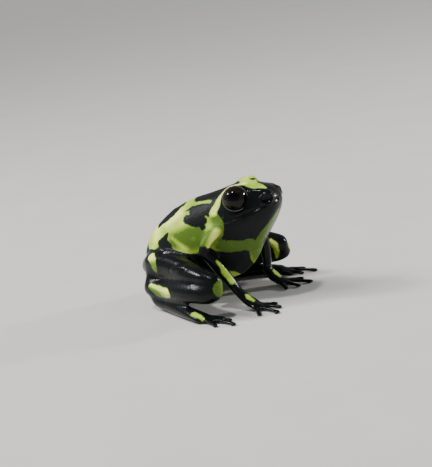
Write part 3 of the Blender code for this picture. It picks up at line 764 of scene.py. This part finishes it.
# Noise cells to a metre
WANDER_SCALE, FINE_WANDER_SCALE, CLOUD_SCALE = 620.0, 2600.0, 260.0
GRANULE_SCALE, GRAIN_SCALE, RIPPLE_SCALE = 3200.0, 5200.0, 1500.0
GRAIN_SHARE, GRANULE_SHARE, RIPPLE_SHARE = 0.4, 0.5, 0.9
GRAIN_LOW, GRAIN_HIGH = 0.3, 0.7
WANDER, FINE_WANDER = 0.9, 0.3  # millimetres that the edge of a mark wanders
EDGE_SHARP, EDGE_GREEN_FROM, EDGE_GREEN_TO = 0.05, 0.02, 0.3
CLOUD_SHARE = 1.1
DRY_ROUGHNESS, WET_ROUGHNESS = (0.56, 0.4), (0.26, 0.17)
BUMP_STRENGTH, BUMP_HEIGHT = 0.5, 0.00009
DRY_RELIEF, WET_LOSS = 1.25, 0.7  # water fills the grain
SKIN_SPECULAR = 0.18
moist_skin = Finish("moist skin")
place = moist_skin.node("ShaderNodeTexCoord", {}, {}, "Object")
edge = moist_skin.node("ShaderNodeAttribute", {"attribute_name": "lime"}, {}, "Fac")
wander = moist_skin.noise(place, WANDER_SCALE, 3.0) - 0.5
fine_wander = moist_skin.noise(place, FINE_WANDER_SCALE, 2.0) - 0.5
edge = edge + wander * WANDER + fine_wander * FINE_WANDER
is_lime = moist_skin.range(edge, -EDGE_SHARP, EDGE_SHARP)
cloud = moist_skin.noise(place, CLOUD_SCALE, 4.0, 0.6)
# The depth layer brings painted light and shade into the green's colour.
depth_and_light_layer = moist_skin.node("ShaderNodeAttribute", {"attribute_name": "depth"}, {}, "Fac")
shade = depth_and_light_layer + (cloud - 0.5) * CLOUD_SHARE
lime_colour = moist_skin.node("ShaderNodeValToRGB", {"stops": GREENS_LIT_TO_SHADED}, {"Fac": shade})
inside = moist_skin.range(edge, EDGE_GREEN_FROM, EDGE_GREEN_TO)
lime_colour = moist_skin.mix(inside, EDGE_GREEN, lime_colour)
black_colour = moist_skin.mix(cloud, *BLACKS)
moist_skin.set(Base_Color=moist_skin.mix(is_lime, black_colour, lime_colour))
granules = moist_skin.node(
    "ShaderNodeTexVoronoi", {"feature": "F1"}, {"Vector": place, "Scale": GRANULE_SCALE}, "Distance"
)
grain = moist_skin.noise(place, GRAIN_SCALE, 2.0, 0.5) * GRAIN_SHARE - granules * GRANULE_SHARE + 0.5
ripple = moist_skin.noise(place, RIPPLE_SCALE, 2.0, 0.5)
wet_layer = moist_skin.node("ShaderNodeAttribute", {"attribute_name": "wet"}, {}, "Fac")
dry_rough = moist_skin.range(grain, GRAIN_LOW, GRAIN_HIGH, *DRY_ROUGHNESS)
wet_rough = moist_skin.range(grain, GRAIN_LOW, GRAIN_HIGH, *WET_ROUGHNESS)
moist_skin.set(Roughness=dry_rough + (wet_rough - dry_rough) * wet_layer)
height = (grain + ripple * RIPPLE_SHARE) * (DRY_RELIEF - wet_layer * WET_LOSS)
relief = {"Strength": BUMP_STRENGTH, "Distance": BUMP_HEIGHT, "Height": height}
moist_skin.set(Normal=moist_skin.node("ShaderNodeBump", {}, relief, "Normal"))
moist_skin.shader.inputs["Specular IOR Level"].default_value = SKIN_SPECULAR
skin.data.materials.clear()
skin.data.materials.append(moist_skin.material)
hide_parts(*FLESH)
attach(skin, "root")

# Eyes. Each is a dark, wet ball that the lids hold at its rim. A clear cornea stands a little
# proud of it, over a dim bronze iris with a long pupil.

CORNEA_RISE = 0.025  # share of the eye's radius
CORNEA_FROM, CORNEA_OVER = 0.6, 0.3  # by how squarely the surface faces the eye's axis
PUPIL_HALF_LONG, PUPIL_HALF_TALL = 1.25, 0.85
IRIS_RADIUS = 2.0
# How soft the edges of the pupil and the iris are, in shares of their size, and the flecks
PUPIL_EDGES, IRIS_EDGES, FLECK_EDGES = (0.97, 1.05), (0.9, 1.1), (0.4, 0.65)
PUPIL_BLACK = colour(3, 3, 4)
IRIS_DARK, IRIS_BRONZE = colour(12, 11, 9), colour(33, 27, 18)
EYE_DARK, EYE_BROWN = colour(6, 6, 7), colour(18, 15, 12)
FLECK_SCALE, FINE_FLECK_SCALE = 900.0, 3600.0
EYE_ROUGHNESS, EYE_SPECULAR = 0.07, 0.2
for name, centre, looks in (
    ("eye_right", eye_right, looks_right), ("eye_left", eye_left, looks_left)
):
    bpy.ops.object.select_all(action="DESELECT")
    bpy.ops.mesh.primitive_uv_sphere_add(
        segments=96, ring_count=48, radius=LID_HUGS * MM, location=centre * MM
    )
    ball = bpy.context.object
    bpy.ops.object.transform_apply(location=True)
    bpy.ops.object.shade_smooth()
    ball.name = name + "_ball"
    spokes = read_points(ball) - np.array(centre) * MM
    facing = spokes @ np.array(looks) / (LID_HUGS * MM)
    spokes *= 1 + CORNEA_RISE * fade((facing - CORNEA_FROM) / CORNEA_OVER)[:, None]
    write_points(ball, spokes + np.array(centre) * MM)
    gloss = Finish(name + " gloss")
    where = gloss.node("ShaderNodeTexCoord", {}, {}, "Object")
    # The pupil is the ellipse round two points on a level line across the front of the eye.
    front = centre + looks * LID_HUGS * (1 + CORNEA_RISE)
    level = looks.cross(Vector((0, 0, 1))).normalized()
    focus = math.sqrt(PUPIL_HALF_LONG**2 - PUPIL_HALF_TALL**2)
    far_first, far_second, far_middle = [
        gloss.node(
            "ShaderNodeVectorMath",
            {"operation": "DISTANCE"},
            {0: where, 1: (front + level * shift) * MM},
            "Value",
        )
        for shift in (focus, -focus, 0)
    ]
    pupil_long = 2 * PUPIL_HALF_LONG * MM
    off_pupil = gloss.range(far_first + far_second, *[pupil_long * edge for edge in PUPIL_EDGES])
    off_iris = gloss.range(far_middle, *[IRIS_RADIUS * edge * MM for edge in IRIS_EDGES])
    fleck = gloss.noise(where, FLECK_SCALE, 3.0)
    fine_fleck = gloss.noise(where, FINE_FLECK_SCALE, 2.0)
    iris = gloss.mix(gloss.range(fine_fleck, *FLECK_EDGES), IRIS_DARK, IRIS_BRONZE)
    rim = gloss.mix(fleck, EYE_DARK, EYE_BROWN)
    middle = gloss.mix(off_pupil, PUPIL_BLACK, iris)
    gloss.set(Base_Color=gloss.mix(off_iris, middle, rim))
    gloss.shader.inputs["Roughness"].default_value = EYE_ROUGHNESS
    gloss.shader.inputs["Specular IOR Level"].default_value = EYE_SPECULAR
    ball.data.materials.append(gloss.material)
    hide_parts(name)
    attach(ball, "root")

# Lid margins. The wet edge of the lids is a thin ring of skin that lies against the
# eyeball, half sunk in it and in the lid. Its pale grey is a painted highlight of the wet edge.

LID_EDGE = 0.11
# A dark grey and a pale grey, the pale one being a painted highlight, mixed by noise along the margin
MARGIN_DARK, MARGIN_HIGHLIGHT_GREY = colour(60, 60, 60), colour(112, 108, 102)
MARGIN_SCALE, MARGIN_ROUGHNESS, MARGIN_COAT = 1500.0, 0.25, 0.8
for name, looks, centre in (("right", looks_right, eye_right), ("left", looks_left, eye_left)):
    opens = math.radians(LIDS_OPEN[name])
    bpy.ops.object.select_all(action="DESELECT")
    bpy.ops.mesh.primitive_torus_add(
        major_radius=LID_HUGS * math.sin(opens) * MM,
        minor_radius=LID_EDGE * MM,
        major_segments=96,
        minor_segments=12,
    )
    margin = bpy.context.object
    margin.rotation_euler = looks.to_track_quat("Z", "Y").to_euler()
    margin.location = (centre + looks * LID_HUGS * math.cos(opens)) * MM
    bpy.ops.object.transform_apply(location=True, rotation=True)
    bpy.ops.object.shade_smooth()
    margin.name = "lid_margin_" + name
    wet_edge_with_highlight = Finish("lid margin " + name)
    where = wet_edge_with_highlight.node("ShaderNodeTexCoord", {}, {}, "Object")
    # The pale grey in this mix is a painted highlight.
    wet_edge_with_highlight.set(Base_Color=wet_edge_with_highlight.mix(wet_edge_with_highlight.noise(where, MARGIN_SCALE), MARGIN_DARK, MARGIN_HIGHLIGHT_GREY))
    wet_edge_with_highlight.shader.inputs["Roughness"].default_value = MARGIN_ROUGHNESS
    wet_edge_with_highlight.shader.inputs["Coat Weight"].default_value = MARGIN_COAT
    margin.data.materials.append(wet_edge_with_highlight.material)
    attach(margin, "root")

# Floor, light and surroundings, none of which is part of the frog. Only the smaller lamps shine
# back from wet skin: the fill and the sun just brighten it.

FLOOR_SIZE = 12
PAPER_SCALE, PAPER_ROUGHNESS = 60.0, 0.7
PAPER_SHADES = (colour(190, 188, 184), colour(199, 197, 193))
# Each lamp's place and size in metres, and its power in watts
LAMPS = (
    ("key light", (-0.3, -0.1, 0.3), 0.06, 1.1),
    ("glint light", (-0.05, -0.12, 0.45), 0.035, 1.2),
    ("rim light", (0.28, 0.3, 0.16), 0.045, 1.2),
    ("fill light", (0.25, -0.45, 0.3), 0.3, 0.2),
)
SUN_POWER, SUN_SOFTNESS, SUN_FROM = 2.7, math.radians(30), (-0.66, -0.32, 0.82)
HORIZON, OVERHEAD, OVERHEAD_FROM = (0.46, 0.46, 0.45, 1), (0.16, 0.17, 0.18, 1), 0.7

bpy.ops.object.select_all(action="DESELECT")
bpy.ops.mesh.primitive_plane_add(size=FLOOR_SIZE)
floor = bpy.context.object
floor.name = "floor"
paper = Finish("pale floor")
paper_place = paper.node("ShaderNodeTexCoord", {}, {}, "Object")
paper.set(Base_Color=paper.mix(paper.noise(paper_place, PAPER_SCALE), *PAPER_SHADES))
paper.shader.inputs["Roughness"].default_value = PAPER_ROUGHNESS
floor.data.materials.append(paper.material)

for name, place, width, power in LAMPS:
    bpy.ops.object.light_add(type="AREA", location=place)
    lamp = bpy.context.object
    lamp.name = name
    lamp.data.size = width
    lamp.data.energy = power
    lamp.rotation_euler = (-Vector(place)).to_track_quat("-Z", "Y").to_euler()
    lamp.visible_glossy = name != "fill light"
bpy.ops.object.light_add(type="SUN")
sun = bpy.context.object
sun.name = "even light"
sun.data.energy = SUN_POWER
sun.data.angle = SUN_SOFTNESS
sun.rotation_euler = Vector(SUN_FROM).to_track_quat("Z", "Y").to_euler()
sun.visible_glossy = False

# The surroundings are as pale as the floor at the horizon and dimmer overhead.
world = bpy.data.worlds.new("studio")
bpy.context.scene.world = world
world.use_nodes = True
nodes, links = world.node_tree.nodes, world.node_tree.links
outwards = nodes.new("ShaderNodeTexCoord")
parts = nodes.new("ShaderNodeSeparateXYZ")
sky = nodes.new("ShaderNodeValToRGB")
sky.color_ramp.elements[0].color = HORIZON
sky.color_ramp.elements[1].color = OVERHEAD
sky.color_ramp.elements[1].position = OVERHEAD_FROM
links.new(outwards.outputs["Generated"], parts.inputs["Vector"])
links.new(parts.outputs["Z"], sky.inputs["Fac"])
links.new(sky.outputs["Color"], nodes["Background"].inputs["Color"])
